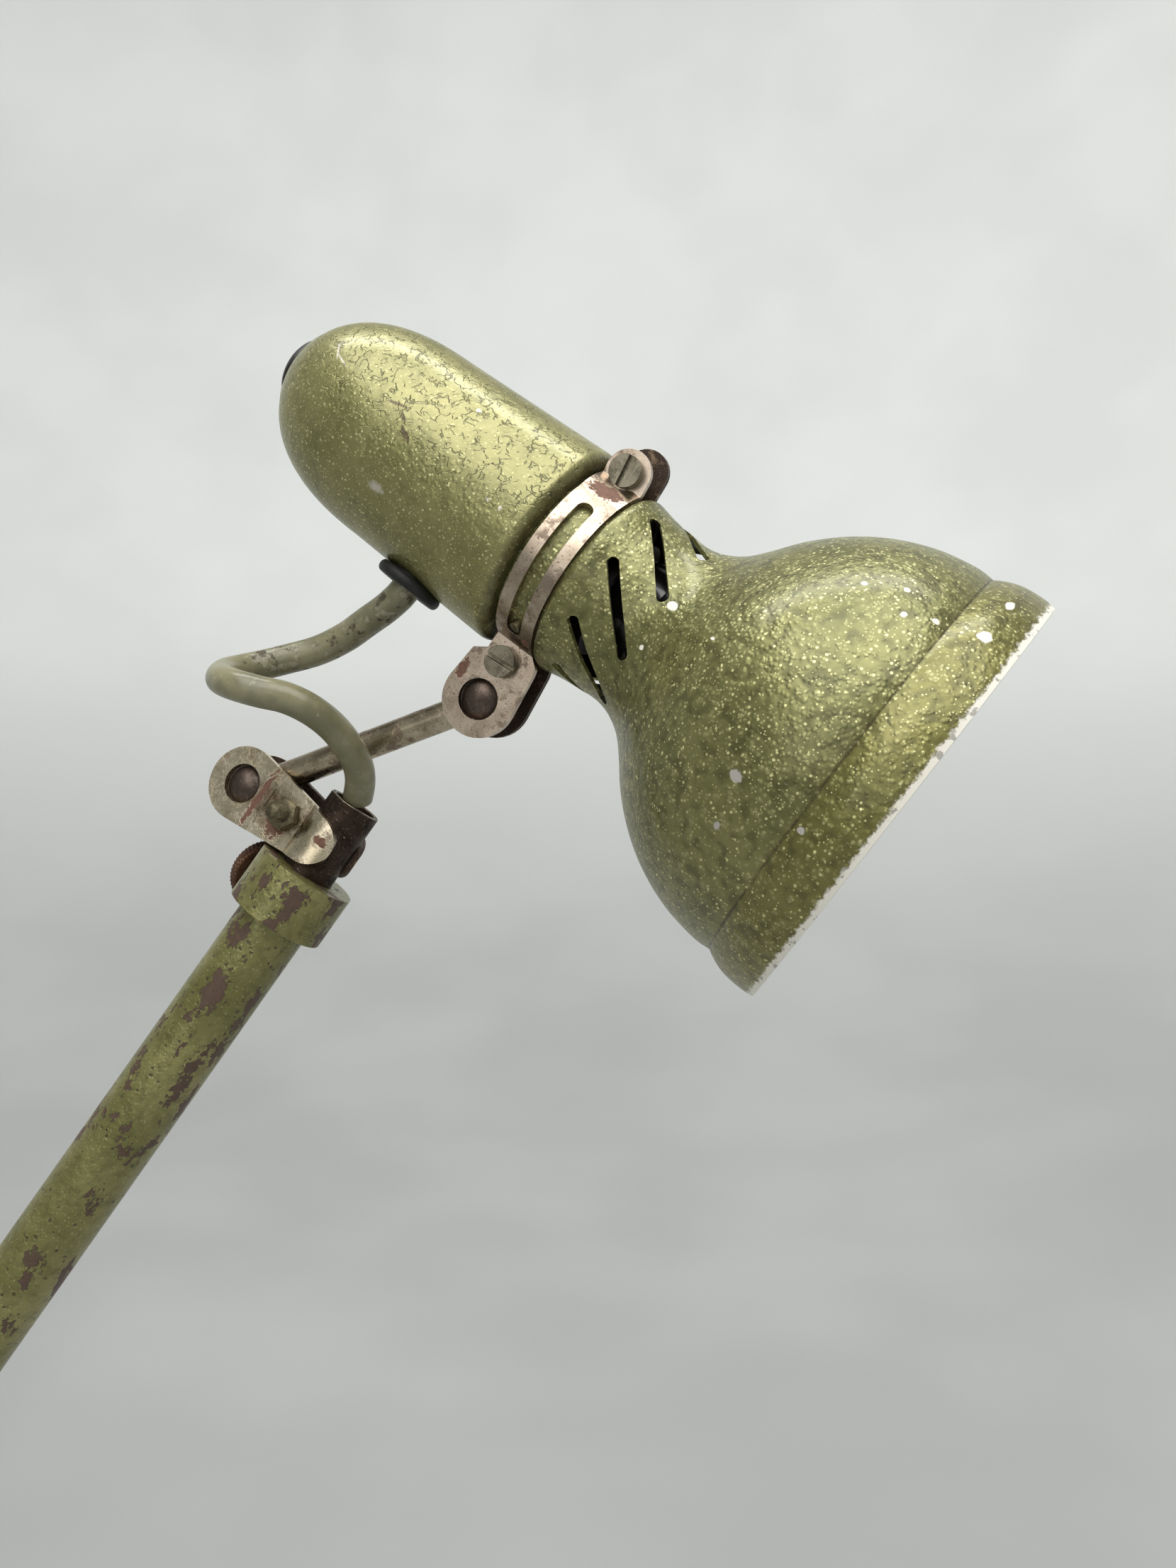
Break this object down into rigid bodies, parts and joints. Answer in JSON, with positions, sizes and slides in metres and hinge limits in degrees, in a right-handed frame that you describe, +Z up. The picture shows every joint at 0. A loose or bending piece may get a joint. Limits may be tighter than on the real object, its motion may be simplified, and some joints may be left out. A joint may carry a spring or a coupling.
{
  "type": "bench lamp",
  "caption": "Table-clamp work lamp with a telescopic tube arm, a two-ball link, a slotted swivel band and a vented bell shade with a bullet cap.",
  "frame": {"origin": "centre of the post on the underside of the table clamp's upper jaw, the face that rests on the table top", "axes": "+Z up along the post; +X the way the arm leans out and the head points; the front, where the slotted half of the band and the screw heads face, is -Y"},
  "size_m": [0.4149, 0.1288, 0.6038],
  "materials": {
    "green_paint": "worn olive green hammertone enamel",
    "nickel": "worn nickel plate with pitting",
    "dark_steel": "oxidised dark steel",
    "bright_steel": "plain steel",
    "rusty_steel": "rust brown knurled steel",
    "brass": "dull brass",
    "lead_sheath": "aged grey-beige sheath",
    "black_rubber": "black rubber",
    "black_plastic": "black moulded plastic",
    "white_holder": "white moulded body",
    "bulb_glass": "clear frosted glass",
    "brown_wire": "brown insulation",
    "blue_wire": "blue insulation"
  },
  "bodies": {
    "table_clamp": {"clamp_bracket": "green_paint"},
    "pad": {"screw_pad": "bright_steel"},
    "clamp_spindle": {"clamp_screw": "bright_steel"},
    "handle_bar": {"tommy_bar": "bright_steel"},
    "post_lock": {"post_thumbscrew": "rusty_steel"},
    "post": {"swivel_post": "dark_steel"},
    "arm": {"arm_fork": "green_paint", "arm_tube": "green_paint", "arm_collar": "green_paint", "knuckle_bolt": "bright_steel", "knuckle_washers": "dark_steel", "cable_gland": "black_rubber", "lead_in_arm": "lead_sheath"},
    "knuckle_lock": {"knuckle_knob": "rusty_steel"},
    "collar_lock": {"collar_thumbscrew": "rusty_steel"},
    "stem": {"stem_tube": "dark_steel", "stem_guide_ring": "brass", "lead_in_stem": "lead_sheath", "lead_at_stem": "lead_sheath"},
    "stem_plates": {"stem_plate_front": "nickel", "stem_plate_rear": "nickel", "stem_plate_bolt": "bright_steel", "stem_plate_nut": "bright_steel", "lead_at_plates": "lead_sheath"},
    "link_foot": {"lower_ball": "dark_steel", "lead_at_ball": "lead_sheath"},
    "link": {"link_rod": "nickel", "upper_ball": "dark_steel", "lead_at_link": "lead_sheath"},
    "swivel_band": {"band_half_front": "nickel", "band_half_rear": "nickel", "ear_screw": "bright_steel", "ear_nut": "bright_steel", "plate_screw": "bright_steel", "plate_nut": "bright_steel", "lead_at_band": "lead_sheath"},
    "head": {"shade": "green_paint", "cap_shell": "green_paint", "lead_grommet": "black_rubber", "swivel_stop_pin": "brass", "lead_in_cap": "lead_sheath", "lamp_holder": "white_holder", "holder_shell": "brass", "holder_contact": "brass", "holder_bridge": "bright_steel", "holder_screws": "bright_steel", "bulb_glass": "bulb_glass", "bulb_base": "bright_steel", "live_wire": "brown_wire", "neutral_wire": "blue_wire", "switched_wire": "brown_wire", "switch_body": "black_plastic", "button_bezel": "black_plastic", "button_spring": "bright_steel"},
    "button": {"push_button": "black_plastic"}
  },
  "joints": [
    {"name": "pad_travel", "type": "slide", "parent": "table_clamp", "child": "pad", "axis": [0, 0, 1], "range_m": [-0.018, 0.018]},
    {"name": "clamp_screw_turn", "type": "hinge", "parent": "pad", "child": "clamp_spindle", "pos_m": [0, 0, -0.06], "axis": [0, 0, 1], "range_deg": [-4320, 4320]},
    {"name": "handle_slide", "type": "slide", "parent": "clamp_spindle", "child": "handle_bar", "axis": [0, 1, 0], "range_m": [-0.017, 0.017]},
    {"name": "post_lock_turn", "type": "hinge", "parent": "table_clamp", "child": "post_lock", "pos_m": [-0.02, 0, 0.026], "axis": [-1, 0, 0], "range_deg": [-360, 0]},
    {"name": "post_swivel", "type": "hinge", "parent": "table_clamp", "child": "post", "pos_m": [0, 0, 0.03], "axis": [0, 0, 1], "range_deg": [-180, 180]},
    {"name": "arm_tilt", "type": "hinge", "parent": "post", "child": "arm", "pos_m": [0, 0, 0.072], "axis": [0, 1, 0], "range_deg": [-60, 55]},
    {"name": "knuckle_lock_turn", "type": "hinge", "parent": "arm", "child": "knuckle_lock", "pos_m": [0, 0, 0.072], "axis": [0, -1, 0], "range_deg": [-360, 0]},
    {"name": "collar_lock_turn", "type": "hinge", "parent": "arm", "child": "collar_lock", "pos_m": [0.17555, 0.01438, 0.33965], "axis": [-0.4918, 0.7986, 0.3469], "range_deg": [-360, 0]},
    {"name": "stem_slide", "type": "slide", "parent": "arm", "child": "stem", "axis": [0.5764, 0, 0.8171], "range_m": [0, 0.17]},
    {"name": "plate_turn", "type": "hinge", "parent": "stem", "child": "stem_plates", "pos_m": [0.19553, 0, 0.34918], "axis": [0.5764, 0, 0.8171], "range_deg": [0, 90], "deforming": ["lead_at_stem"]},
    {"name": "link_swing", "type": "hinge", "parent": "stem_plates", "child": "link_foot", "pos_m": [0.17322, 0.00978, 0.36491], "axis": [-0.2755, -0.9415, 0.1943], "range_deg": [-8, 70], "deforming": ["lead_at_plates"]},
    {"name": "link_twist", "type": "hinge", "parent": "link_foot", "child": "link", "pos_m": [0.17322, 0.00978, 0.36491], "axis": [0.9138, -0.246, 0.3233], "range_deg": [-50, 50], "deforming": ["lead_at_ball"]},
    {"name": "head_tilt", "type": "hinge", "parent": "link", "child": "swivel_band", "pos_m": [0.24047, -0.00833, 0.38871], "axis": [-0.2794, -0.9593, -0.0415], "range_deg": [-60, 40], "deforming": ["lead_at_link"]},
    {"name": "head_swivel", "type": "hinge", "parent": "swivel_band", "child": "head", "pos_m": [0.3437, -0.03717, 0.36038], "axis": [-0.773, 0.199, 0.6024], "range_deg": [0, 87], "deforming": ["lead_at_band"]},
    {"name": "button_press", "type": "slide", "parent": "head", "child": "button", "axis": [0.773, -0.199, -0.6024], "range_m": [0, 0.0025], "stiffness_N_per_m": 400, "springref_m": -0.0005, "deforming": ["button_spring"]}
  ],
  "couplings": [
    {"joint": "clamp_screw_turn", "follows": "pad_travel", "rad_per_m": 4188.8}
  ]
}
